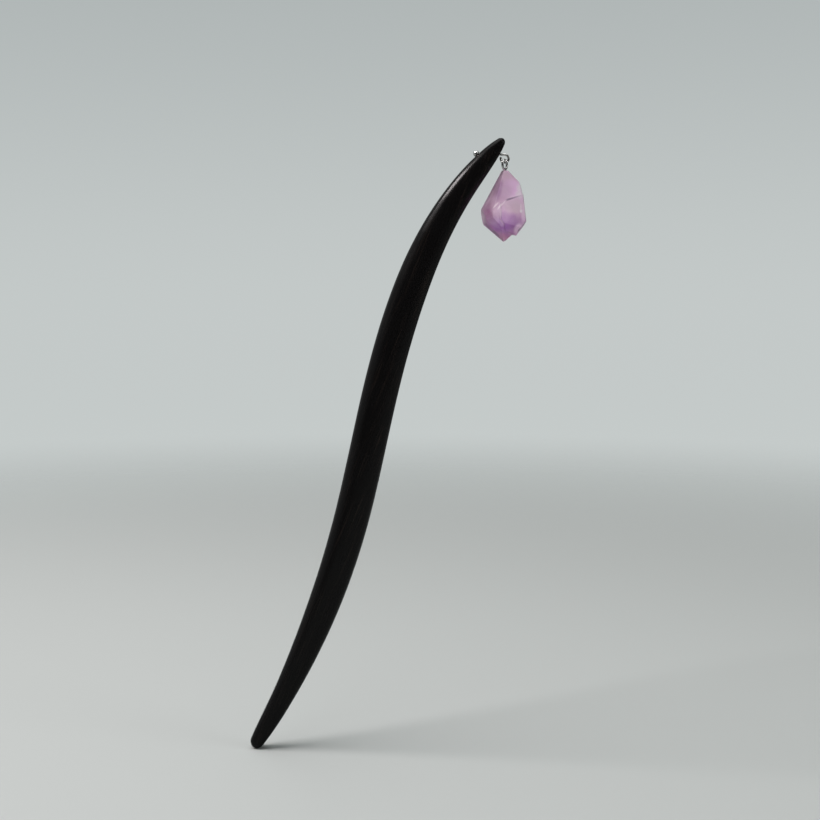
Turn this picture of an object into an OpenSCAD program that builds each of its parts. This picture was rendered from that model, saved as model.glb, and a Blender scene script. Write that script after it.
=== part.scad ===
// Hair stick: a long curved hardwood stick, thin at the foot and beaked at the head.
// A ball-headed pin runs through the head and ends in a loop, which holds the eye of a
// crystal drop. The stick stands as it is shown, with the drop hanging free.
// +Z is up and +X is to the right. +Y is the back, away from the viewer.
// The origin is on the stick's middle line, where the hair grips it. Sizes are millimetres.

/* [Shaft] */
// Length of the shaft along its curve
shaft_len = 176.6; // [170:0.2:182]
// Greatest width of the shaft, seen from the front
shaft_w = 9.35; // [8.8:0.05:9.8]
// Greatest depth of the shaft, front to back
shaft_d = 7.4; // [6.6:0.1:8.4]
// Squareness of the oval section, where 2 is an ellipse
section_power = 2.3; // [2:0.1:3]
// Length of the rounding at the foot
foot_round = 1.9; // [1:0.1:2.5]
// Length of the rounding at the head
head_round = 0.9; // [0.5:0.1:1.2]

/* [Pin] */
// Radius of the pin's wire
wire_r = 0.3; // [0.25:0.01:0.32]
// Radius of the pin's ball head
ball_r = 0.78; // [0.7:0.02:0.9]
// Slope of the pin, down to the right, in degrees
pin_slope = 2; // [0:0.5:4]
// Middle of the ball head, to the right of the origin
ball_x = 28.85; // [28.7:0.05:29]
// Middle of the ball head, above the origin
ball_z = 79.45; // [79.3:0.05:79.6]
// Length of the straight shank, from the ball's middle to the start of the loop
shank_len = 7.4; // [7.1:0.05:7.6]
// Radius of the loop, to the middle of its wire
loop_r = 1.0; // [0.95:0.01:1.1]
// Gap between the cut end of the loop's wire and the shank
loop_end_gap = 0.05; // [0.03:0.01:0.2]
// Running gap round the pin in the drilled hole
hole_gap = 0.05; // [0.02:0.01:0.1]

/* [Drop] */
// Radius of the drop's eye, to the middle of its wire
eye_r = 1.2; // [1.1:0.01:1.3]
// Turn of the eye's plane away from the front, in degrees
eye_turn = 58; // [50:1:90]
// Gap between the linked loop and eye
link_gap = 0.05; // [0.03:0.01:0.1]
// Length of the eye's peg inside the crystal
peg_len = 3.4; // [2:0.1:4]
// Gap round the peg, filled with glue
glue_gap = 0.04; // [0.02:0.01:0.08]
// Gap between the eye and the crystal's top
top_gap = 0.03; // [0.01:0.01:0.06]
// Height of the crystal's top above the middle of its chart
stone_rise = 9.15; // [9:0.05:9.3]
// Shift of the crystal to the right of the loop, so that it hangs plumb
stone_right = -0.14; // [-0.3:0.01:0]
// Shift of the crystal to the back of the loop, so that it hangs plumb
stone_back = -0.08; // [-0.2:0.01:0.1]

/* [Hidden] */

// Columns of the shaft's sections: share of the length from the foot, lean from upright
// to the right in degrees, and shares of the greatest width and depth
SHARE = 0;
LEAN = 1;
WIDTH = 2;
DEPTH = 3;
shaft_sections = [
    [0.00, 30.0, 0.36, 0.42],
    [0.04, 30.0, 0.515, 0.59],
    [0.10, 27.0, 0.645, 0.71],
    [0.17, 24.0, 0.785, 0.83],
    [0.25, 20.8, 0.905, 0.92],
    [0.34, 16.8, 0.975, 0.98],
    [0.43, 13.2, 1.00, 1.00],
    [0.53, 12.4, 1.00, 1.00],
    [0.62, 14.6, 0.995, 0.99],
    [0.70, 18.2, 0.98, 0.97],
    [0.77, 22.4, 0.935, 0.93],
    [0.84, 28.8, 0.835, 0.85],
    [0.90, 35.2, 0.715, 0.76],
    [0.94, 39.5, 0.605, 0.67],
    [0.97, 41.0, 0.465, 0.55],
    [0.985, 41.0, 0.35, 0.43],
    [1.00, 41.0, 0.18, 0.24]
];
// Share of the length at which the hair grips the shaft
grip_share = 0.479;
// Rings along the shaft, short steps that sum its curve, and sides of a section
shaft_rings = 52;
round_rings = 4;
steps = 400;
shaft_sides = 28;

// Columns of a crystal's flats: azimuth of the outward normal (0 right, 90 back, 180 left,
// 270 front), its tilt upwards, and how far the flat lies from the middle of the chart
AZIMUTH = 0;
TILT = 1;
REACH = 2;
main_crystal_flats = [
    // upper point
    [214, 25, 4.3],
    [275, 22, 4.0],
    [4, 42, 6.8],
    [350, 13, 5.3],
    [60, 30, 5.1],
    [105, 27, 4.8],
    [150, 24, 4.2],
    [0, 90, stone_rise],
    // sides
    [192, -12, 5.9],
    [228, -6, 5.9],
    [292, -4, 3.45],
    [352, 2, 5.1],
    [40, 3, 4.3],
    [95, -2, 4.9],
    [150, -8, 5.55],
    // lower point
    [200, -48, 6.75],
    [240, -42, 6.3],
    [285, -38, 5.9],
    [10, -45, 6.45],
    [95, -42, 6.3],
    [150, -46, 6.6],
    [300, -82, 8.85]
];
side_crystal_flats = [
    // ledge and sides
    [207, 72, 1.72],
    [350, 40, 6.2],
    [284, 2, 3.98],
    [240, 0, 4.27],
    [225, 35, 3.85],
    [350, 7, 5.3],
    [35, 4, 4.1],
    [100, 35, 2.6],
    [95, 0, 2.2],
    [180, 0, 2.2],
    // second, shorter point
    [350, -34, 6.95],
    [275, -38, 6.15],
    [225, -35, 5.1],
    [60, -40, 5.3],
    [200, -70, 6.2]
];
// A block larger than the crystal, whose face is one flat
block = 60;
// How far a drill runs on past the surface, so that its hole is open
drill_over = 2;

// Smooth value of a column at a share of the length, through the rows on both sides
function row_below(s, i = 0) =
    i < len(shaft_sections) - 2 && s > shaft_sections[i + 1][SHARE] ? row_below(s, i + 1) : i;
function row(i) = shaft_sections[max(0, min(len(shaft_sections) - 1, i))];
function slope_at(i, column) =
    (row(i + 1)[column] - row(i - 1)[column]) / (row(i + 1)[SHARE] - row(i - 1)[SHARE]);
function blend(a, b, ma, mb, t) =
    (2 * pow(t, 3) - 3 * pow(t, 2) + 1) * a + (pow(t, 3) - 2 * pow(t, 2) + t) * ma
    + (3 * pow(t, 2) - 2 * pow(t, 3)) * b + (pow(t, 3) - pow(t, 2)) * mb;
function smooth_value(s, column) =
    let (i = row_below(s), run = row(i + 1)[SHARE] - row(i)[SHARE])
    blend(row(i)[column], row(i + 1)[column], slope_at(i, column) * run,
        slope_at(i + 1, column) * run, (s - row(i)[SHARE]) / run);

// Middle line: the sum of short steps that lean as the table says, from the grip
function step_lean(k) = smooth_value((k + 0.5) / steps, LEAN);
path = [
    for (k = 0, p = [0, 0]; k <= steps;
            p = p + shaft_len / steps * [sin(step_lean(k)), cos(step_lean(k))], k = k + 1)
        p
];
function path_at(s) =
    let (k = min(steps - 1, floor(s * steps)), t = s * steps - k) path[k] * (1 - t) + path[k + 1] * t;
function middle_at(s) = let (p = path_at(s) - path_at(grip_share)) [p[0], 0, p[1]];

// Rounding of an end: the share of the full section at a distance from the tip
function rounded(distance, reach) =
    distance >= reach ? 1 : sqrt(max(0, 1 - pow(1 - distance / reach, 2)));
function ends_rounded(s) =
    rounded(s * shaft_len, foot_round) * rounded((1 - s) * shaft_len, head_round);

// One ring of the shaft, square to the middle line
function oval(value) = sign(value) * pow(abs(value), 2 / section_power);
function ring(s) =
    let (
        lean = smooth_value(s, LEAN),
        half_w = shaft_w / 2 * smooth_value(s, WIDTH) * ends_rounded(s),
        half_d = shaft_d / 2 * smooth_value(s, DEPTH) * ends_rounded(s)
    )
    [
        for (k = [0:shaft_sides - 1])
            let (turn = 360 * (k + 0.5) / shaft_sides, out = half_w * oval(cos(turn)))
            middle_at(s) + [out * cos(lean), half_d * oval(sin(turn)), -out * sin(lean)]
    ];

// Shares of the rings: close together in the rounded ends, and even between them
function round_step(k) = 1 - cos(90 * (k + 0.5) / (round_rings + 0.5));
foot_share = foot_round / shaft_len;
head_share = head_round / shaft_len;
ring_shares = concat(
    [for (k = [0:round_rings - 1]) foot_share * round_step(k)],
    [for (k = [0:shaft_rings]) foot_share + (1 - foot_share - head_share) * k / shaft_rings],
    [for (k = [round_rings - 1:-1:0]) 1 - head_share * round_step(k)]
);

// Pin, loop and eye, in the plane through the middle of the stick
ball_middle = [ball_x, 0, ball_z];
pin_dir = [cos(pin_slope), 0, -sin(pin_slope)];
pin_down = [-sin(pin_slope), 0, -cos(pin_slope)];
loop_middle = ball_middle + shank_len * pin_dir + loop_r * pin_down;
// Swelling of the wire where the bend starts, which joins the shank and the loop
bend_swell = 0.01;
bend_gap = 0.02;
// How far round the wire is bent
loop_turn = 270 + asin((loop_r - 2 * wire_r - loop_end_gap) / loop_r);
eye_middle = loop_middle - [0, 0, loop_r + eye_r - 2 * wire_r - link_gap];
stone_top = eye_middle[2] - eye_r - wire_r - top_gap;
stone_middle = [loop_middle[0] + stone_right, stone_back, stone_top - stone_rise];
eye_foot = eye_middle[2] - eye_r;

module lofted(rings) {
    sides = len(rings[0]);
    last = len(rings) - 1;
    polyhedron(
        points = [for (r = rings) each r],
        faces = concat(
            [[for (k = [0:sides - 1]) k]],
            [
                for (j = [0:last - 1], k = [0:sides - 1])
                    [j * sides + k, (j + 1) * sides + k, (j + 1) * sides + (k + 1) % sides,
                        j * sides + (k + 1) % sides]
            ],
            [[for (k = [sides - 1:-1:0]) last * sides + k]]
        )
    );
}

module along_pin() {
    translate(ball_middle)
        rotate([0, 90 + pin_slope, 0])
            children();
}

module cut_crystal(flats) {
    intersection_for(f = flats)
        rotate([0, -f[TILT], f[AZIMUTH]])
            translate([f[REACH] - block, -block / 2, -block / 2])
                cube(block);
}

module shaft() {
    color([0.07, 0.06, 0.06])
        difference() {
            lofted([for (s = ring_shares) ring(s)]);
            along_pin()
                cylinder(r = wire_r + hole_gap, h = shank_len + drill_over, $fn = 48);
            translate(ball_middle)
                sphere(r = ball_r + hole_gap, $fn = 48);
        }
}

module ball_pin() {
    color([0.8, 0.8, 0.8]) {
        translate(ball_middle)
            sphere(r = ball_r, $fn = 48);
        along_pin() {
            cylinder(r = wire_r, h = shank_len - bend_gap, $fn = 48);
            translate([0, 0, shank_len - bend_gap / 2])
                sphere(r = wire_r + bend_swell, $fn = 48);
        }
        translate(loop_middle)
            rotate([90, pin_slope, 0])
                rotate_extrude(angle = loop_turn, start = 90 - loop_turn, $fn = 64)
                    translate([loop_r, 0])
                        circle(r = wire_r, $fn = 32);
    }
}

module drop_eye() {
    color([0.8, 0.8, 0.8]) {
        translate(eye_middle)
            rotate([90, 0, eye_turn])
                rotate_extrude($fn = 64)
                    translate([eye_r, 0])
                        circle(r = wire_r, $fn = 32);
        translate([eye_middle[0], 0, eye_foot - peg_len])
            cylinder(r = wire_r, h = peg_len, $fn = 48);
    }
}

module stone() {
    color([0.62, 0.45, 0.68])
        difference() {
            translate(stone_middle)
                union() {
                    cut_crystal(main_crystal_flats);
                    cut_crystal(side_crystal_flats);
                }
            translate([eye_middle[0], 0, eye_foot - peg_len - glue_gap])
                cylinder(r = wire_r + glue_gap, h = peg_len + drill_over, $fn = 48);
        }
}

shaft();
ball_pin();
drop_eye();
stone();
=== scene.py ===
from math import asin, atan2, cos, pi, radians, sin, sqrt

import bmesh
import bpy
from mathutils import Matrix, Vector


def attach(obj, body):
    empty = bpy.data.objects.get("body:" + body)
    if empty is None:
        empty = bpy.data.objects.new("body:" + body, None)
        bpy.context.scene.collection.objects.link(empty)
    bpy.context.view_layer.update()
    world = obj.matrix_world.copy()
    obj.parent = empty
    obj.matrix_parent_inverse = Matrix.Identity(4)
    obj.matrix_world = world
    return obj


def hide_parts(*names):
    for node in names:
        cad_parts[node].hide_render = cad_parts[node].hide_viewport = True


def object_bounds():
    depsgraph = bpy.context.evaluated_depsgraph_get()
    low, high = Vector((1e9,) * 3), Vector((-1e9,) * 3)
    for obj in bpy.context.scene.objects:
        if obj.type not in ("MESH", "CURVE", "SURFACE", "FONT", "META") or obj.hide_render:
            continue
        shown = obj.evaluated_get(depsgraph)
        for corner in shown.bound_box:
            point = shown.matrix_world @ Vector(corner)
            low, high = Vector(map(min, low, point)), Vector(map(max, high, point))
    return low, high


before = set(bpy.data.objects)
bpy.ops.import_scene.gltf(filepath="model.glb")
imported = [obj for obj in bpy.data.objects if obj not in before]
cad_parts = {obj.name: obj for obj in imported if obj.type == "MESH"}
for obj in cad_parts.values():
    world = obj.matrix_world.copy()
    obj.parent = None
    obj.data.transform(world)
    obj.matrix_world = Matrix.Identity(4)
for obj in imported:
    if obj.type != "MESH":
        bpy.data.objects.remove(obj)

cad_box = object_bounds()

# Blender works in metres, and a maker in millimetres
MM = 0.001
BACK = Vector((0, 1, 0))
UP = Vector((0, 0, 1))


def place(*millimetres):
    return Vector(millimetres) * MM


# ---------------------------------------------------------------- sizes, as in the model
# All lengths are in millimetres. The stick: its length along the middle line, its greatest
# width and depth, how square its oval is (2 is round), how far its two ends are rounded, and
# where the origin lies, as a share of the length from the foot
shaft_len = 176.6
shaft_w = 9.35
shaft_d = 7.4
section_power = 2.3
foot_round = 1.9
head_round = 0.9
grip_share = 0.479
# Share of the length from the foot, lean from upright to the right in degrees, and shares
# of the greatest width and depth
SHARE, LEAN, WIDTH, DEPTH = range(4)
shaft_sections = [
    (0.00, 30.0, 0.36, 0.42),
    (0.04, 30.0, 0.515, 0.59),
    (0.10, 27.0, 0.645, 0.71),
    (0.17, 24.0, 0.785, 0.83),
    (0.25, 20.8, 0.905, 0.92),
    (0.34, 16.8, 0.975, 0.98),
    (0.43, 13.2, 1.00, 1.00),
    (0.53, 12.4, 1.00, 1.00),
    (0.62, 14.6, 0.995, 0.99),
    (0.70, 18.2, 0.98, 0.97),
    (0.77, 22.4, 0.935, 0.93),
    (0.84, 28.8, 0.835, 0.85),
    (0.90, 35.2, 0.715, 0.76),
    (0.94, 39.5, 0.605, 0.67),
    (0.97, 41.0, 0.465, 0.55),
    (0.985, 41.0, 0.35, 0.43),
    (1.00, 41.0, 0.18, 0.24),
]

# The pin: its wire and ball, the room in the hole, its slope down to the right, the shank from
# the ball's middle to the loop, and the loop, whose end stays clear of the shank
wire_r = 0.3
ball_r = 0.78
hole_gap = 0.05
pin_slope = radians(2)
shank_len = 7.4
loop_r = 1.0
loop_end_gap = 0.05
ball_middle = Vector((28.85, 0, 79.45))
pin_dir = Vector((cos(pin_slope), 0, -sin(pin_slope)))
pin_down = Vector((-sin(pin_slope), 0, -cos(pin_slope)))
loop_middle = ball_middle + shank_len * pin_dir + loop_r * pin_down

# The drop's eye: its turn against the loop, the room where the two link, its peg with the room
# for glue, and the gap between the eye and the crystal. A drill runs on a little past its work
eye_r = 1.2
eye_turn = radians(58)
link_gap = 0.05
peg_len = 3.4
glue_gap = 0.04
top_gap = 0.03
drill_over = 2
eye_side = Vector((cos(eye_turn), sin(eye_turn), 0))
eye_middle = loop_middle - UP * (loop_r + eye_r - 2 * wire_r - link_gap)
peg_foot = eye_middle - UP * (eye_r + peg_len)

# The crystal: how far its top lies over its middle, where its middle hangs, and its flats
stone_rise = 9.15
stone_top = eye_middle.z - eye_r - wire_r - top_gap
stone_middle = Vector((loop_middle.x - 0.14, -0.08, stone_top - stone_rise))
# Flats of the crystal: azimuth of the outward normal (0 right, 90 back, 180 left, 270
# front), its tilt upwards, and how far the flat lies from the stone's middle
main_crystal_flats = [
    (214, 25, 4.3), (275, 22, 4.0), (4, 42, 6.8), (350, 13, 5.3),
    (60, 30, 5.1), (105, 27, 4.8), (150, 24, 4.2), (0, 90, stone_rise),
    (192, -12, 5.9), (228, -6, 5.9), (292, -4, 3.45), (352, 2, 5.1),
    (40, 3, 4.3), (95, -2, 4.9), (150, -8, 5.55),
    (200, -48, 6.75), (240, -42, 6.3), (285, -38, 5.9), (10, -45, 6.45),
    (95, -42, 6.3), (150, -46, 6.6), (300, -82, 8.85),
]
side_crystal_flats = [
    (207, 72, 1.72), (350, 40, 6.2), (284, 2, 3.98), (240, 0, 4.27),
    (225, 35, 3.85), (350, 7, 5.3), (35, 4, 4.1), (100, 35, 2.6),
    (95, 0, 2.2), (180, 0, 2.2),
    (350, -34, 6.95), (275, -38, 6.15), (225, -35, 5.1), (60, -40, 5.3),
    (200, -70, 6.2),
]


def outward(azimuth, tilt):
    """Direction of a flat's outward normal, from its azimuth and its tilt in degrees."""
    a, t = radians(azimuth), radians(tilt)
    return Vector((cos(t) * cos(a), cos(t) * sin(a), sin(t)))


# ---------------------------------------------------------------- the workbench
# Corners of the ring that a ball or a drill starts from
ball_corners = 32


def start_ring(name, middle, direction, radius, corners):
    """Lays an open ring square to a direction and opens it for shaping. Millimetres."""
    bpy.ops.object.select_all(action="DESELECT")
    turn = UP.rotation_difference(direction).to_euler()
    bpy.ops.mesh.primitive_circle_add(
        vertices=corners, radius=radius * MM, location=middle * MM, rotation=turn
    )
    piece = bpy.context.object
    piece.name = piece.data.name = name
    bpy.ops.object.transform_apply(location=True, rotation=True, scale=True)
    bpy.ops.object.mode_set(mode="EDIT")
    return piece


def draw_out(step):
    """Pulls the selected ring on by a step, which leaves a wall behind it."""
    bpy.ops.mesh.extrude_region_move(TRANSFORM_OT_translate={"value": step * MM})


def widen(factors, middle):
    """Scales what is selected about a middle, by a factor for each direction."""
    bpy.ops.transform.resize(value=factors, center_override=middle * MM)


def round_out(at, direction, radius, angles):
    """Draws a ring out over a ball, from angle to angle from its near pole. Gives its end."""
    for before, after in zip(angles, angles[1:]):
        step = direction * radius * (cos(before) - cos(after))
        at = at + step
        draw_out(step)
        widen([sin(after) / sin(before)] * 3, at)
    return at


def bend_round(middle, axis, angle, pieces):
    """Sweeps the selected ring round an axis, as wire is bent round a pin."""
    bpy.ops.mesh.spin(steps=pieces, angle=angle, center=middle * MM, axis=axis)


def pick_corners(piece, chosen):
    """Selects the corners that a test holds for, and nothing else."""
    bpy.ops.mesh.select_mode(type="VERT")
    bpy.ops.mesh.select_all(action="DESELECT")
    shape = bmesh.from_edit_mesh(piece.data)
    for corner in shape.verts:
        corner.select_set(chosen(corner))
    bmesh.update_edit_mesh(piece.data)


def close_ends():
    """Closes each open ring of the piece with a shallow fan of faces."""
    bpy.ops.mesh.select_mode(type="EDGE")
    bpy.ops.mesh.select_all(action="DESELECT")
    bpy.ops.mesh.select_non_manifold()
    bpy.ops.mesh.edge_face_add()
    bpy.ops.mesh.poke()


def turn_faces_out():
    """Turns all faces of the piece outwards and ends its shaping."""
    bpy.ops.mesh.select_all(action="SELECT")
    bpy.ops.mesh.normals_make_consistent(inside=False)
    bpy.ops.object.mode_set(mode="OBJECT")


def merge_corners(distance):
    """Merges the corners of the whole piece that lie closer than a distance."""
    bpy.ops.mesh.select_all(action="SELECT")
    bpy.ops.mesh.remove_doubles(threshold=distance * MM)


def off_the_bench(piece, body, finish, smooth):
    """Ends the shaping, shades edges up to an angle smooth, and hands the piece to its body."""
    same_place = 0.0005
    merge_corners(same_place)
    turn_faces_out()
    bpy.ops.object.shade_smooth_by_angle(angle=smooth)
    piece.data.materials.clear()
    piece.data.materials.append(finish)
    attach(piece, body)


def carve(piece, tool, how="DIFFERENCE"):
    """Cuts a tool's shape out of a piece, or joins it on, and puts the tool away."""
    cut = piece.modifiers.new("cut", "BOOLEAN")
    cut.operation = how
    cut.solver = "EXACT"
    cut.object = tool
    bpy.ops.object.select_all(action="DESELECT")
    piece.select_set(True)
    bpy.context.view_layer.objects.active = piece
    bpy.ops.object.modifier_apply(modifier=cut.name)
    bpy.data.objects.remove(tool)


def drill(middle, direction, radius, length):
    """A round drill, as a closed rod with its start at a middle."""
    rod = start_ring("drill", middle, direction, radius, ball_corners)
    draw_out(direction * length)
    close_ends()
    turn_faces_out()
    return rod


def ball_cutter(middle, direction, radius):
    """A ball turned ring by ring along an axis, closed at both poles."""
    rings = 15
    angles = [pi * (k + 0.5) / rings for k in range(rings)]
    start = middle - direction * radius * cos(angles[0])
    ball = start_ring("seat", start, direction, radius * sin(angles[0]), ball_corners)
    round_out(start, direction, radius, angles)
    close_ends()
    turn_faces_out()
    return ball


# ---------------------------------------------------------------- how finishes are mixed
def feed(tree, node, inputs):
    """Sets inputs of a node. A plain value stays on the input, another node's is linked."""
    for name, value in inputs.items():
        if isinstance(value, bpy.types.NodeSocket):
            tree.links.new(value, node.inputs[name])
        else:
            node.inputs[name].default_value = value


def put(tree, kind, inputs=None, **settings):
    """Adds a node with its settings and its inputs."""
    made = tree.nodes.new("ShaderNode" + kind)
    for name, value in settings.items():
        setattr(made, name, value)
    feed(tree, made, inputs or {})
    return made


def reckon(tree, how, first, second=0.0):
    return put(tree, "Math", {0: first, 1: second}, operation=how).outputs[0]


def add_share(tree, value, mask, share):
    """Adds a share of a mask to a value. A share below zero takes it off."""
    return reckon(tree, "ADD", value, reckon(tree, "MULTIPLY", mask, share))


def reckon_place(tree, how, *terms):
    """Reckons with places. A length and a dot product come out as a number."""
    made = put(tree, "VectorMath", dict(enumerate(terms)), operation=how)
    return made.outputs["Value" if how in ("LENGTH", "DOT_PRODUCT") else "Vector"]


def stretch(tree, where, scale):
    """Places for a pattern that is drawn out along the axes with small scales."""
    return put(tree, "Mapping", {"Vector": where, "Scale": scale}).outputs[0]


def even_share(tree, value, low, high):
    """How far a value has come from one limit to the other, from 0 to 1."""
    limits = {"Value": value, "From Min": low, "From Max": high}
    return put(tree, "MapRange", limits).outputs["Result"]


def spread(tree, value, low, high, to_low=0.0, to_high=1.0):
    """Maps a value between two limits smoothly onto another range."""
    limits = {
        "Value": value, "From Min": low, "From Max": high, "To Min": to_low, "To Max": to_high,
    }
    return put(tree, "MapRange", limits, interpolation_type="SMOOTHSTEP").outputs["Result"]


def ramp(tree, amount, stops):
    """Turns an amount into a colour by stops of place and colour."""
    made = put(tree, "ValToRGB", {"Fac": amount})
    made.color_ramp.interpolation = "EASE"
    points = made.color_ramp.elements
    while len(points) < len(stops):
        points.new(0.5)
    for point, (where, colour) in zip(points, stops):
        point.position = where
        point.color = (*colour, 1)
    return made.outputs["Color"]


def blend_colours(tree, amount, first, second):
    """Goes from a first colour to a second one as the amount goes from 0 to 1."""
    made = put(tree, "Mix", data_type="RGBA")
    wanted = {("Factor", "VALUE"): amount, ("A", "RGBA"): first, ("B", "RGBA"): second}
    for socket in made.inputs:
        value = wanted.get((socket.name, socket.type))
        if isinstance(value, bpy.types.NodeSocket):
            tree.links.new(value, socket)
        elif value is not None:
            socket.default_value = (*value, 1)
    return next(socket for socket in made.outputs if socket.type == "RGBA")


def new_group(name, inputs, outputs):
    """An effect that several finishes share, with named inputs and outputs."""
    group = bpy.data.node_groups.new(name, "ShaderNodeTree")
    for title, kind, start in inputs:
        socket = group.interface.new_socket(name=title, in_out="INPUT", socket_type=kind)
        if start is not None:
            socket.default_value = start
    for title, kind in outputs:
        group.interface.new_socket(name=title, in_out="OUTPUT", socket_type=kind)
    given = group.nodes.new("NodeGroupInput").outputs
    result = group.nodes.new("NodeGroupOutput").inputs
    return group, given, result


def use(tree, group, inputs):
    """Places a shared effect in a finish with values of its own. Gives its one output."""
    return put(tree, "Group", inputs, node_tree=group).outputs[0]


def fine_scratches():
    """Thin hairlines of handling and polishing, in two directions."""
    tree, given, result = new_group(
        "Fine scratches",
        [("Vector", "NodeSocketVector", None), ("Per millimetre", "NodeSocketFloat", 4.0)],
        [("Lines", "NodeSocketFloat")],
    )
    half_line = 0.012
    masks = []
    for turn, shift in (((0.5, 0.3, 0.2), 0), ((-0.4, 1.1, 2.0), 3.1)):
        along = put(
            tree, "Mapping",
            {
                "Vector": given["Vector"], "Rotation": turn,
                "Scale": (1, 1, 0.05), "Location": (shift, 0, 0),
            },
        ).outputs[0]
        waves = put(
            tree, "TexNoise",
            {"Vector": along, "Scale": given["Per millimetre"], "Detail": 1.0},
        ).outputs["Fac"]
        off = reckon(tree, "ABSOLUTE", reckon(tree, "SUBTRACT", waves, 0.5))
        masks.append(spread(tree, off, 0.0, half_line, to_low=1.0, to_high=0.0))
    tree.links.new(reckon(tree, "MAXIMUM", *masks), result["Lines"])
    return tree


def soft_patches():
    """Broad, cloudy patches, such as polish worn uneven or a tint that gathers."""
    tree, given, result = new_group(
        "Soft patches",
        [
            ("Vector", "NodeSocketVector", None),
            ("Per millimetre", "NodeSocketFloat", 0.3),
            ("Sharpness", "NodeSocketFloat", 0.3),
        ],
        [("Patches", "NodeSocketFloat")],
    )
    cloud = put(
        tree, "TexNoise",
        {
            "Vector": given["Vector"], "Scale": given["Per millimetre"],
            "Detail": 4.0, "Distortion": 0.4,
        },
    ).outputs["Fac"]
    # The sharper the patches are, the closer to the middle tone are their two limits
    width = reckon(tree, "SUBTRACT", 0.5, given["Sharpness"])
    low, high = (add_share(tree, 0.5, width, side) for side in (-0.5, 0.5))
    tree.links.new(spread(tree, cloud, low, high), result["Patches"])
    return tree


def start_finish(name, middle=Vector((0, 0, 0)), turn=(0, 0, 0)):
    """A material whose pattern is measured in millimetres on the piece itself."""
    finish = bpy.data.materials.new(name)
    finish.use_nodes = True
    tree = finish.node_tree
    tree.nodes.clear()
    surface = put(tree, "BsdfPrincipled")
    put(tree, "OutputMaterial", {"Surface": surface.outputs[0]})
    where = put(tree, "TexCoord").outputs["Object"]
    in_mm = (1 / MM, 1 / MM, 1 / MM)
    measured = put(
        tree, "Mapping", {"Vector": where, "Scale": in_mm, "Location": tuple(-middle)}
    ).outputs[0]
    if any(turn):
        measured = put(tree, "Mapping", {"Vector": measured, "Rotation": turn}).outputs[0]
    return finish, tree, surface, measured


# ---------------------------------------------------------------- wood and wire
def black_hardwood(scratches, patches):
    """Oiled and hand-polished near-black hardwood, with its grain along the stick."""
    near_black, warm_streak = (0.0040, 0.0037, 0.0038), (0.013, 0.0095, 0.0082)
    pore_black = (0.0025, 0.0022, 0.0022)
    mean_lean = radians(22.6)
    finish, tree, surface, along = start_finish("Oiled black hardwood", turn=(0, -mean_lean, 0))
    # Straight grain: long, thin streaks a little browner than the rest
    streaks = put(
        tree, "TexNoise",
        {
            "Vector": stretch(tree, along, (1, 1, 0.035)),
            "Scale": 1.6, "Detail": 5.0, "Roughness": 0.6, "Distortion": 0.3,
        },
    ).outputs["Fac"]
    # Pores: short, dark dashes a few tenths of a millimetre long
    dashes = put(
        tree, "TexVoronoi",
        {"Vector": stretch(tree, along, (1, 1, 0.09)), "Scale": 5.5, "Randomness": 1.0},
    ).outputs["Distance"]
    pores = spread(tree, dashes, 0.06, 0.2, to_low=1.0, to_high=0.0)
    polish = use(tree, patches, {"Vector": along, "Per millimetre": 0.12, "Sharpness": 0.2})
    hairlines = use(tree, scratches, {"Vector": along, "Per millimetre": 1.2})

    colour = blend_colours(tree, spread(tree, streaks, 0.5, 0.78), near_black, warm_streak)
    colour = blend_colours(tree, pores, colour, pore_black)
    gloss = spread(tree, polish, 0.0, 1.0, to_low=0.20, to_high=0.26)
    gloss = add_share(tree, gloss, pores, 0.2)
    gloss = add_share(tree, gloss, hairlines, 0.06)
    height = add_share(tree, reckon(tree, "MULTIPLY", streaks, 0.35), pores, -0.5)
    relief = put(tree, "Bump", {"Height": height, "Strength": 0.35, "Distance": 0.02 * MM})
    feed(
        tree, surface,
        {
            "Base Color": colour, "Roughness": gloss, "Normal": relief.outputs[0],
            "Specular IOR Level": 0.2,
        },
    )
    return finish


def polished_silver(scratches, patches):
    """Bright silver-coloured wire with the marks of drawing, pliers and wear."""
    worn_tone, bright_tone = (0.80, 0.79, 0.77), (0.92, 0.92, 0.91)
    finish, tree, surface, where = start_finish("Polished silver wire")
    polish = use(tree, patches, {"Vector": where, "Per millimetre": 1.4})
    hairlines = use(tree, scratches, {"Vector": where, "Per millimetre": 6.0})
    gloss = spread(tree, polish, 0.0, 1.0, to_low=0.27, to_high=0.17)
    dents = put(tree, "TexNoise", {"Vector": where, "Scale": 2.2, "Detail": 2.0}).outputs["Fac"]
    height = add_share(tree, dents, hairlines, -0.06)
    relief = put(tree, "Bump", {"Height": height, "Strength": 0.5, "Distance": 0.004 * MM})
    feed(
        tree, surface,
        {
            "Base Color": blend_colours(tree, polish, worn_tone, bright_tone),
            "Roughness": add_share(tree, gloss, hairlines, 0.14),
            "Normal": relief.outputs[0],
            "Metallic": 1.0,
        },
    )
    return finish


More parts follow.
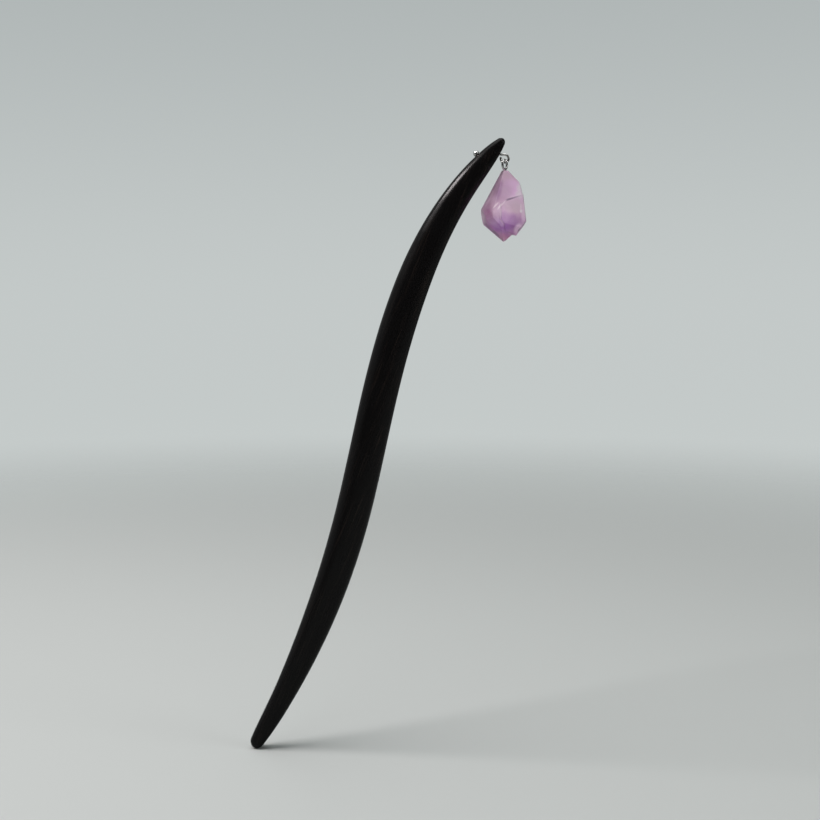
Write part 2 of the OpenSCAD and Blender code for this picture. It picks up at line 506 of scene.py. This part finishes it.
# ---------------------------------------------------------------- the crystal's finish
# Tints of the crystal, and painted light and painted shade where light falls on it and passes
# through it: middle and reach in millimetres from the stone's middle, lean in degrees, strength,
# and colour. The broad ones are stirred a little, the fine ones are not
broad_tints_and_painted_light = [
    # Painted light: the lit upper right, pale where light passes through
    ((1.8, -2, 4.2), (3.6, 7, 3.6), 0, 0.9, (0.98, 0.68, 0.98)),
    ((4.0, -2, 4.0), (1.6, 7, 2.8), 0, 0.95, (1.00, 0.93, 1.00)),
    ((1.8, -3, -0.2), (3.8, 5, 2.6), 0, 0.8, (0.74, 0.58, 0.67)),
    # Painted shade: the darker left side; then a mid tone
    ((-3.0, -2, 1.5), (2.3, 7, 6.5), 24, 0.8, (0.42, 0.24, 0.36)),
    ((-0.5, -3, 1.4), (3.4, 6, 7.2), 8, 0.8, (0.62, 0.42, 0.60)),
    # Painted shade low on the left; then the violet near the foot, smaller tints and the rosy tip
    ((-4.2, -2, -3.0), (2.4, 6, 4.6), 0, 0.85, (0.28, 0.10, 0.23)),
    ((0.2, -1, -4.5), (6.3, 8, 3.7), 0, 0.85, (0.31, 0.11, 0.41)),
    ((-0.6, -2, -5.4), (3.2, 7, 2.2), 0, 0.8, (0.27, 0.09, 0.38)),
    ((-0.8, -4, 0.8), (3.0, 4, 2.4), 0, 0.5, (0.52, 0.33, 0.46)),
    ((0.7, -3, -0.1), (1.7, 4, 1.8), 0, 0.6, (0.54, 0.38, 0.48)),
    ((-2.0, -3, -2.4), (1.3, 4, 2.2), 0, 0.68, (0.42, 0.23, 0.40)),
    ((-0.4, 0, -8.8), (1.8, 6, 1.4), 0, 0.8, (0.64, 0.36, 0.50)),
]
fine_tints_and_painted_light = [
    # Painted shade: a dark violet band left of the lit top. Painted light: a pale sheen along the
    # left rim, and pale light passing out at the right rim
    ((-1.3, -4, 4.4), (1.0, 4, 4.2), 16, 0.75, (0.34, 0.13, 0.36)),
    ((-3.9, -2, 3.0), (1.3, 5, 3.6), 24, 0.6, (0.90, 0.70, 0.80)),
    ((-5.8, -2, -3.0), (1.0, 5, 3.4), -8, 0.75, (0.84, 0.68, 0.78)),
    ((4.9, -2, -2.2), (1.0, 5, 3.4), 0, 0.6, (0.90, 0.74, 0.88)),
    # Three painted glints under the ledge, as pale streaks
    ((-2.4, -4, 0.0), (0.30, 3, 1.5), 42, 0.8, (1.00, 0.90, 0.94)),
    ((-1.4, -4, -0.3), (0.34, 3, 1.3), 36, 0.8, (1.00, 0.90, 0.94)),
    ((-0.5, -4, 0.5), (0.20, 3, 1.3), 40, 0.6, (1.00, 0.90, 0.94)),
    # A painted highlight, a bright speck with its tail; and the pale tip of the side crystal
    ((4.2, -3, -1.35), (0.45, 4, 0.6), 0, 1.0, (1.00, 0.97, 1.00)),
    ((4.15, -3, -0.3), (0.24, 4, 1.2), 0, 0.7, (1.00, 0.92, 0.98)),
    ((3.4, -2, -5.8), (1.3, 5, 1.9), 30, 0.9, (0.94, 0.72, 0.90)),
    # The narrow flat where the side crystal grows out lies in shade; painted light lifts it so
    # that it shows less
    ((-1.15, -3.4, -1.9), (0.36, 2, 2.5), 0, 0.82, (1.00, 0.84, 0.97)),
    ((-0.78, -3.2, -4.0), (0.38, 2, 1.7), -30, 0.76, (0.92, 0.68, 0.95)),
    # Painted shade along the two lower edges
    ((-2.2, -1.4, -6.95), (0.5, 1.3, 2.1), -47, 0.8, (0.06, 0.02, 0.08)),
    ((3.9, -2.9, -6.1), (0.40, 1.1, 1.9), 35, 0.8, (0.08, 0.03, 0.10)),
]


def spot(tree, where, middle, reach, lean):
    """A soft oval spot: 1 in its middle and 0 outside. It leans to the right by some degrees."""
    soft_from = 0.35
    moved = reckon_place(tree, "SUBTRACT", where, middle)
    leaned = put(
        tree, "VectorRotate", {"Vector": moved, "Angle": radians(-lean)}, rotation_type="Y_AXIS"
    ).outputs[0]
    out = reckon_place(tree, "LENGTH", reckon_place(tree, "DIVIDE", leaned, reach))
    return spread(tree, out, soft_from, 1.0, to_low=1.0, to_high=0.0)


def ledge_painted_shade(tree, where):
    """Painted shade: a dark line in the crease on the ledge where the two crystals meet, which
    thins out to the right.
    """
    azimuth, tilt, reach = side_crystal_flats[0]
    over_ledge, strength = 0.04, 0.85
    over = reckon_place(tree, "DOT_PRODUCT", where, outward(azimuth, tilt))
    off = reckon(tree, "ABSOLUTE", reckon(tree, "SUBTRACT", over, reach + over_ledge))
    parts = put(tree, "SeparateXYZ", {0: where}).outputs
    across, to_back = parts["X"], parts["Y"]
    thick = spread(tree, across, 0.0, 5.4, to_low=0.34, to_high=0.12)
    crease_shade = spread(tree, reckon(tree, "DIVIDE", off, thick), 0.3, 1.0, to_low=1.0, to_high=0.0)
    # It starts at the left, fades to the right, and stays in front
    for fade in (
        spread(tree, across, -0.1, 0.8),
        spread(tree, across, 1.2, 4.8, to_low=1.0, to_high=0.1),
        spread(tree, to_back, 0.2, 1.4, to_low=1.0, to_high=0.0),
    ):
        crease_shade = reckon(tree, "MULTIPLY", crease_shade, fade)
    return reckon(tree, "MULTIPLY", crease_shade, strength)


def violet_quartz(patches):
    """Cloudy quartz, lilac above its ledge, greyer below it, and violet near its foot, with
    painted light on its right and painted shade on its left, along its lower edges and in its
    ledge.
    """
    # The second colour is painted shade for the ledge's crease
    milk, painted_shade_violet = (0.90, 0.74, 0.86), (0.09, 0.025, 0.12)
    stir, foot, top = 2.2, -9.0, 9.2
    milkiness, quartz_ior = 0.25, 1.54
    finish, tree, surface, where = start_finish("Violet quartz", middle=stone_middle)
    # The broad tints and their painted light and shade are stirred, so that their borders waver
    noise = put(tree, "TexNoise", {"Vector": where, "Scale": 0.32, "Detail": 3.0}).outputs["Color"]
    sway = reckon_place(tree, "SUBTRACT", noise, (0.5, 0.5, 0.5))
    stirred = reckon_place(tree, "MULTIPLY_ADD", sway, (stir, stir, stir), where)
    height = put(tree, "SeparateXYZ", {0: stirred}).outputs["Z"]
    colour = ramp(
        tree, even_share(tree, height, foot, top),
        [
            (0.00, (0.60, 0.26, 0.46)),
            (0.30, (0.50, 0.22, 0.48)),
            (0.45, (0.78, 0.54, 0.70)),
            (0.60, (0.84, 0.60, 0.80)),
            (1.00, (0.80, 0.58, 0.72)),
        ],
    )
    # Tints laid over the zones, with painted light, painted highlights and painted shade among
    # them
    for at, rows in ((stirred, broad_tints_and_painted_light), (where, fine_tints_and_painted_light)):
        for middle, reach, lean, strength, tint in rows:
            amount = reckon(tree, "MULTIPLY", spot(tree, at, middle, reach, lean), strength)
            colour = blend_colours(tree, amount, colour, tint)
    cloud = use(tree, patches, {"Vector": where, "Per millimetre": 0.45, "Sharpness": 0.0})
    colour = blend_colours(tree, reckon(tree, "MULTIPLY", cloud, milkiness), colour, milk)
    # Painted shade along the ledge's crease
    colour = blend_colours(tree, ledge_painted_shade(tree, where), colour, painted_shade_violet)
    # Growth lines: fine steps across the faces, level on a standing crystal
    growth = put(
        tree, "TexNoise",
        {
            "Vector": stretch(tree, where, (0.12, 0.12, 1)),
            "Scale": 2.4, "Detail": 3.0, "Distortion": 0.2,
        },
    ).outputs["Fac"]
    relief = put(tree, "Bump", {"Height": growth, "Strength": 0.5, "Distance": 0.018 * MM})
    feed(
        tree, surface,
        {
            "Base Color": colour,
            "Roughness": spread(tree, cloud, 0.0, 1.0, to_low=0.28, to_high=0.40),
            "Normal": relief.outputs[0],
            "Transmission Weight": 0.5, "IOR": quartz_ior,
            "Coat Weight": 0.3, "Coat Roughness": 0.16, "Coat IOR": quartz_ior,
        },
    )
    return finish


# ---------------------------------------------------------------- the stick
def smooth_value(share, column):
    """A column of the section table at a share of the length, smooth through its rows."""
    rows, last = shaft_sections, len(shaft_sections) - 1
    i = 0
    while i < last - 1 and share > rows[i + 1][SHARE]:
        i += 1

    def row(k):
        return rows[max(0, min(last, k))]

    def slope(k):
        run = row(k + 1)[SHARE] - row(k - 1)[SHARE]
        return (row(k + 1)[column] - row(k - 1)[column]) / run

    run = rows[i + 1][SHARE] - rows[i][SHARE]
    t = (share - rows[i][SHARE]) / run
    return (
        (2 * t**3 - 3 * t**2 + 1) * rows[i][column] + (t**3 - 2 * t**2 + t) * slope(i) * run
        + (3 * t**2 - 2 * t**3) * rows[i + 1][column] + (t**3 - t**2) * slope(i + 1) * run
    )


def rounded(distance, reach):
    """How full the stick is at a distance from its end, as a share."""
    return 1 if distance >= reach else sqrt(max(0, 1 - (1 - distance / reach) ** 2))


def section(share):
    """Half the width and half the depth of the stick at a share of its length."""
    ends = rounded(share * shaft_len, foot_round) * rounded((1 - share) * shaft_len, head_round)
    return (
        shaft_w / 2 * smooth_value(share, WIDTH) * ends,
        shaft_d / 2 * smooth_value(share, DEPTH) * ends,
    )


def squared(part):
    """How much a part of a round ring is stretched for the slightly squared oval."""
    return part ** (2 / section_power - 1) if part > 1e-4 else 1


def square_up(ring, middle, radius, corners):
    """Makes a round ring a slightly squared oval, up to four matching corners at a time."""
    near = 0.01 * radius * MM
    for k in range(corners // 4 + 1):
        x, y = cos(2 * pi * k / corners), sin(2 * pi * k / corners)
        pick_corners(
            ring,
            lambda corner: abs(abs(corner.co.x) - x * radius * MM) < near
            and abs(abs(corner.co.y) - y * radius * MM) < near,
        )
        widen((squared(x), squared(y), 1), middle)


def middle_line():
    """The stick's middle line as a guide that a straight blank can be bent along."""
    steps = 400
    points = [Vector((0, 0, 0))]
    for k in range(steps):
        lean = radians(smooth_value((k + 0.5) / steps, LEAN))
        points.append(points[-1] + shaft_len / steps * Vector((sin(lean), 0, cos(lean))))
    whole = int(grip_share * steps)
    grip = points[whole].lerp(points[whole + 1], grip_share * steps - whole)
    curve = bpy.data.curves.new("middle line", "CURVE")
    curve.dimensions = "3D"
    run = curve.splines.new("POLY")
    run.points.add(steps)
    for point, bend in zip(run.points, points):
        point.co = (*((bend - grip) * MM), 1)
    guide = bpy.data.objects.new("middle line", curve)
    bpy.context.scene.collection.objects.link(guide)
    return guide


def round_rims():
    """Merges slivers that the cuts left, and rounds the rims of the hole and the seat."""
    sliver = 0.02
    bpy.ops.object.mode_set(mode="EDIT")
    bpy.ops.mesh.select_mode(type="EDGE")
    merge_corners(sliver)
    bpy.ops.mesh.select_all(action="DESELECT")
    bpy.ops.mesh.edges_select_sharp(sharpness=radians(40))
    bpy.ops.mesh.bevel(offset=0.05 * MM, segments=2, clamp_overlap=True)


def make_stick(finish):
    """A straight blank is tapered to both ends, bent to its curve, and drilled for the pin."""
    tip_steps, rings, corners = 9, 116, 56
    tip = [1 - cos(pi / 2 * (k + 0.5) / (tip_steps + 0.5)) for k in range(tip_steps)]
    foot, head = foot_round / shaft_len, head_round / shaft_len
    shares = (
        [foot * t for t in tip]
        + [foot + (1 - foot - head) * k / rings for k in range(rings + 1)]
        + [1 - head * t for t in reversed(tip)]
    )
    # The bend lays the blank's X to the back and its Y across the stick
    wide, deep = section(shares[0])
    at = UP * shares[0] * shaft_len
    blank = start_ring("stick_shaft", at, UP, deep, corners)
    square_up(blank, at, deep, corners)
    bpy.ops.mesh.select_all(action="SELECT")
    widen((1, wide / deep, 1), at)
    for share in shares[1:]:
        new_wide, new_deep = section(share)
        rise = UP * share * shaft_len - at
        at = at + rise
        draw_out(rise)
        widen((new_deep / deep, new_wide / wide, 1), at)
        wide, deep = new_wide, new_deep
    close_ends()
    bpy.ops.object.mode_set(mode="OBJECT")

    guide = middle_line()
    bend = blank.modifiers.new("bend", "CURVE")
    bend.object = guide
    bend.deform_axis = "POS_Z"
    bpy.ops.object.modifier_apply(modifier=bend.name)
    bpy.data.objects.remove(guide)
    bpy.ops.object.mode_set(mode="EDIT")
    turn_faces_out()

    carve(blank, drill(ball_middle, pin_dir, wire_r + hole_gap, shank_len + drill_over))
    carve(blank, ball_cutter(ball_middle, pin_dir, ball_r + hole_gap))
    round_rims()
    off_the_bench(blank, "stick", finish, smooth=radians(35))
    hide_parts("shaft")


# ---------------------------------------------------------------- the pin and the eye
def along_loop(turn):
    """Direction from the loop's middle to its wire, a turn on from the end of the shank."""
    angle = pi / 2 - pin_slope - turn
    return Vector((cos(angle), 0, sin(angle)))


def make_pin(finish):
    """One wire: a ball melted on its end, a straight shank, and a loop bent at the other end."""
    pole, ball_rings, loop_pieces = radians(6), 18, 84
    # Where the neck leaves the ball it is this much thicker than the wire. It narrows in three
    # steps, each with its run and with how much thicker than the wire it ends
    neck_over = 0.06
    neck_steps = ((0.05, 0.025), (0.07, 0.006), (0.06, 0))
    # The wire's cut end is left a little short, and narrower by a share
    cut_room, cut_share = radians(3), 0.86

    neck = asin((wire_r + neck_over) / ball_r)
    angles = [pole + (pi - neck - pole) * k / ball_rings for k in range(ball_rings + 1)]
    at = ball_middle - pin_dir * ball_r * cos(angles[0])
    pin = start_ring("pin_with_ball", at, pin_dir, ball_r * sin(angles[0]), ball_corners)
    at = round_out(at, pin_dir, ball_r, angles)
    radius = ball_r * sin(angles[-1])
    for run, over in neck_steps:
        at = at + pin_dir * run
        draw_out(pin_dir * run)
        widen([(wire_r + over) / radius] * 3, at)
        radius = wire_r + over
    shank_end = ball_middle + pin_dir * shank_len
    draw_out((shank_end - at) * 0.5)
    draw_out((shank_end - at) * 0.5)
    # The loop comes round under the shank, as near as its gap allows
    turn = pi * 1.5 + asin((loop_r - 2 * wire_r - loop_end_gap) / loop_r)
    bend_round(loop_middle, -BACK, turn - cut_room, loop_pieces)
    widen([cut_share] * 3, loop_middle + loop_r * along_loop(turn - cut_room))
    close_ends()
    off_the_bench(pin, "pin", finish, smooth=radians(40))
    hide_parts("ball_pin")


def make_eye(finish):
    """A straight peg whose wire kinks at the neck and goes round into a centred eye."""
    wire_corners, kink_pieces, eye_pieces = 24, 12, 72
    # The round stops short of its own neck, and the peg's foot has a small chamfer
    kink, end_room = 0.35, radians(39)
    foot_share, foot_rise = 0.8, 0.12

    drop = sqrt((eye_r + kink) ** 2 - kink**2)
    kink_middle = eye_middle - eye_side * kink - UP * drop
    axis = eye_side.cross(UP)
    eye = start_ring("drop_eye_wire", peg_foot, UP, wire_r, wire_corners)
    widen([foot_share] * 3, peg_foot)
    draw_out(UP * foot_rise)
    widen([1 / foot_share] * 3, peg_foot + UP * foot_rise)
    draw_out(UP * (kink_middle.z - peg_foot.z - foot_rise))
    bend_round(kink_middle, -axis, atan2(drop, kink), kink_pieces)
    bend_round(eye_middle, axis, 2 * pi - end_room, eye_pieces)
    close_ends()
    off_the_bench(eye, "drop", finish, smooth=radians(40))
    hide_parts("drop_eye")


# ---------------------------------------------------------------- the crystal
def cleave(name, flats):
    """A block cut down to a crystal, one flat after another."""
    block_side = 30
    bpy.ops.object.select_all(action="DESELECT")
    bpy.ops.mesh.primitive_cube_add(size=block_side * MM, location=stone_middle * MM)
    block = bpy.context.object
    block.name = block.data.name = name
    bpy.ops.object.transform_apply(location=True, rotation=True, scale=True)
    bpy.ops.object.mode_set(mode="EDIT")
    for azimuth, tilt, reach in flats:
        out = outward(azimuth, tilt)
        bpy.ops.mesh.select_all(action="SELECT")
        bpy.ops.mesh.bisect(
            plane_co=(stone_middle + out * reach) * MM, plane_no=out,
            use_fill=True, clear_outer=True, threshold=1e-7,
        )
    turn_faces_out()
    return block


def make_crystal(finish):
    """Two crystals grown together, with soft edges and a hole drilled for the peg."""
    sliver = 0.01
    stone = cleave("crystal_point", main_crystal_flats)
    carve(stone, cleave("side point", side_crystal_flats), how="UNION")
    bpy.ops.object.mode_set(mode="EDIT")
    merge_corners(sliver)
    bpy.ops.object.mode_set(mode="OBJECT")
    soften = stone.modifiers.new("soft edges", "BEVEL")
    soften.width = 0.11 * MM
    soften.segments = 3
    soften.limit_method = "ANGLE"
    soften.angle_limit = radians(8)
    bpy.ops.object.modifier_apply(modifier=soften.name)
    carve(stone, drill(peg_foot - UP * glue_gap, UP, wire_r + glue_gap, peg_len + drill_over))
    bpy.ops.object.mode_set(mode="EDIT")
    off_the_bench(stone, "drop", finish, smooth=radians(30))
    even = stone.modifiers.new("even shading", "WEIGHTED_NORMAL")
    even.keep_sharp = True
    bpy.ops.object.modifier_apply(modifier=even.name)
    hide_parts("stone")


# ---------------------------------------------------------------- the studio
def make_camera():
    """In front of the stick, a little above its middle, and looking slightly down."""
    bpy.ops.object.camera_add(
        location=place(11.79, -320.725, 44.47), rotation=(radians(84.405), 0, 0)
    )
    camera = bpy.context.object
    camera.data.lens = 53.78
    camera.data.sensor_width = 36
    camera.data.clip_start = 0.01
    camera.data.clip_end = 20
    bpy.context.scene.camera = camera


def make_floor():
    """A wide, pale floor that fades into the backdrop far from the stick."""
    # Metres, as seen from its middle
    side, fade_from, fade_to = 4, 0.2, 0.75
    below_foot = 0.02 * MM
    pale_grey, grey_in_polish = (0.60, 0.64, 0.625), (0.27, 0.29, 0.28)
    bpy.ops.object.select_all(action="DESELECT")
    bpy.ops.mesh.primitive_grid_add(
        x_subdivisions=8, y_subdivisions=8, size=side,
        location=(0, 0, cad_box[0].z - below_foot),
    )
    floor = bpy.context.object
    floor.name = "studio_floor"
    finish = bpy.data.materials.new("Pale studio floor")
    finish.use_nodes = True
    tree = finish.node_tree
    tree.nodes.clear()
    # Polished pieces mirror a darker floor, so that the black wood stays black near its foot
    mirrored = put(tree, "LightPath").outputs["Is Glossy Ray"]
    pale = blend_colours(tree, mirrored, pale_grey, grey_in_polish)
    matt = put(tree, "BsdfDiffuse", {"Color": pale})
    clear = put(tree, "BsdfTransparent")
    far = reckon_place(tree, "LENGTH", put(tree, "TexCoord").outputs["Object"])
    fade = spread(tree, far, fade_from, fade_to)
    mixed = put(tree, "MixShader", {0: fade, 1: matt.outputs[0], 2: clear.outputs[0]})
    put(tree, "OutputMaterial", {"Surface": mixed.outputs[0]})
    floor.data.materials.append(finish)


def make_air():
    """A soft, pale backdrop all round, and a room that is dark to the front and the right."""
    world = bpy.data.worlds.new("Soft studio")
    bpy.context.scene.world = world
    world.use_nodes = True
    tree = world.node_tree
    tree.nodes.clear()
    look = put(tree, "TexCoord").outputs["Generated"]
    parts = put(tree, "SeparateXYZ", {0: look}).outputs
    backdrop = ramp(
        tree, even_share(tree, parts["Z"], -0.3, 0.3),
        [(0.0, (0.58, 0.62, 0.61)), (0.45, (0.55, 0.585, 0.58)), (1.0, (0.42, 0.455, 0.455))],
    )
    # The room that lights the pieces and is mirrored in them is lighter to the left and back
    to_light = reckon_place(tree, "DOT_PRODUCT", look, (-0.8, 0.6, 0))
    room = ramp(
        tree, spread(tree, to_light, -0.2, 0.8),
        [(0.0, (0.02, 0.021, 0.021)), (1.0, (0.26, 0.27, 0.27))],
    )
    # Clear pieces look brighter against the light, most of all to the left
    clear = ramp(
        tree, even_share(tree, parts["X"], -1.0, 1.0),
        [(0.0, (1.5, 1.5, 1.48)), (0.5, (1.1, 1.11, 1.1)), (1.0, (0.8, 0.82, 0.82))],
    )
    path = put(tree, "LightPath").outputs
    colour = blend_colours(tree, path["Is Camera Ray"], room, backdrop)
    colour = blend_colours(tree, path["Is Transmission Ray"], colour, clear)
    air = put(tree, "Background", {"Color": colour, "Strength": 1.0})
    put(tree, "OutputWorld", {"Surface": air.outputs[0]})


def hang(name, lamp, at, aim):
    """Hangs a lamp up at a place, turned to its aim, where the camera doesn't see it."""
    hung = bpy.data.objects.new(name, lamp)
    bpy.context.scene.collection.objects.link(hung)
    hung.location = at
    hung.rotation_euler = (aim - at).to_track_quat("-Z", "Y").to_euler()
    hung.visible_camera = False
    return hung


def hang_softbox(name, at, aim, size, power, colour=(1, 1, 1)):
    """An even, rectangular lamp. Metres and watts."""
    lamp = bpy.data.lights.new(name, "AREA")
    lamp.shape = "RECTANGLE"
    lamp.size, lamp.size_y = size
    lamp.energy = power
    lamp.color = colour
    hang(name, lamp, at, aim)


def hang_spot(name, at, aim, cone, power, colour):
    """A soft round beam on one small thing, which leaves no glint of its own on polish."""
    lamp = bpy.data.lights.new(name, "SPOT")
    lamp.spot_size, lamp.spot_blend = cone, 0.6
    lamp.shadow_soft_size = 0.1
    lamp.energy = power
    lamp.color = colour
    hang(name, lamp, at, aim).visible_glossy = False


def light_studio():
    """The key light lays the long highlight on the head, and a spot lifts the crystal."""
    make_air()
    middle = place(5, 0, 20)
    hang_softbox(
        "key softbox", at=Vector((-0.464, -0.112, 0.584)), aim=place(20, 0, 60),
        size=(0.42, 0.075), power=3.7, colour=(1, 0.93, 0.935),
    )
    hang_softbox(
        "overhead softbox", at=Vector((0.05, -0.05, 0.95)), aim=middle,
        size=(0.9, 0.9), power=4.5,
    )
    hang_softbox(
        "right fill", at=Vector((0.65, -0.25, 0.35)), aim=middle, size=(0.25, 0.4), power=0.6
    )
    hang_spot(
        "crystal spot", at=Vector((0.43, -0.41, 0.095)), aim=stone_middle * MM,
        cone=radians(11), power=27.0, colour=(1, 0.97, 0.98),
    )
    bpy.context.scene.view_settings.view_transform = "Standard"


make_camera()
scratches = fine_scratches()
patches = soft_patches()
wood = black_hardwood(scratches, patches)
silver = polished_silver(scratches, patches)
quartz = violet_quartz(patches)
make_stick(wood)
make_pin(silver)
make_eye(silver)
make_crystal(quartz)
make_floor()
light_studio()
